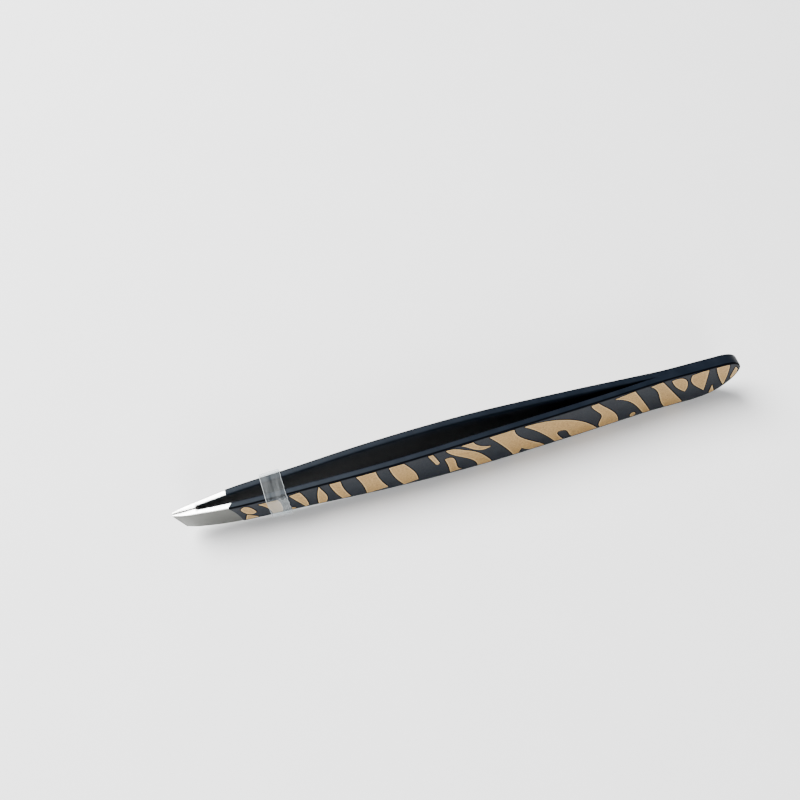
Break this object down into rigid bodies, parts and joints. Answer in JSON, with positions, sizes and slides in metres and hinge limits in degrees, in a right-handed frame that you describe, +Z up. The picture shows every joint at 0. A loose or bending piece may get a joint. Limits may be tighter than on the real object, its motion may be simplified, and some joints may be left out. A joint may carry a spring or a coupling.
{
  "type": "slant tweezers",
  "caption": "Slim slant-tip tweezers with a bowed lacquered body, foil stripe print, bare ground tip and a slip-on holding band.",
  "frame": {"origin": "on the surface the tweezers stand on, under the middle of their length and width", "axes": "+X from the slanted tip to the rounded tail, +Y from the near arm to the far arm, +Z up, across the height of the arms' faces"},
  "size_m": [0.095, 0.0054, 0.0102],
  "materials": {
    "steel": "satin ground",
    "weld": "as welded",
    "lacquer": "satin charcoal lacquer",
    "foil": "matte gold foil print",
    "clear_plastic": "translucent"
  },
  "bodies": {
    "tail": {"near_arm_tail": "steel", "far_arm_tail": "steel", "spot_weld_nuggets": "weld", "tail_coat": "lacquer", "near_tail_print": "foil", "far_tail_print": "foil"},
    "near_arm": {"near_arm_blade": "steel", "near_blade_coat": "lacquer", "near_blade_print": "foil"},
    "far_arm": {"far_arm_blade": "steel", "far_blade_coat": "lacquer", "far_blade_print": "foil"},
    "band": {"tip_band": "clear_plastic"}
  },
  "joints": [
    {"name": "near_arm_flex", "type": "hinge", "parent": "tail", "child": "near_arm", "pos_m": [0.0315, -0.00057, 0.00512], "axis": [0, 0, 1], "range_deg": [0, 2.06]},
    {"name": "far_arm_flex", "type": "hinge", "parent": "tail", "child": "far_arm", "pos_m": [0.0315, 0.00057, 0.00512], "axis": [0, 0, -1], "range_deg": [0, 2.07]},
    {"name": "band_slide", "type": "slide", "parent": "tail", "child": "band", "axis": [-1, 0, 0], "range_m": [0, 0.0601]}
  ],
  "couplings": [
    {"joint": "far_arm_flex", "follows": "near_arm_flex", "ratio": 1},
    {"joint": "band_slide", "follows": "near_arm_flex", "m_per_rad": 1.6667}
  ]
}
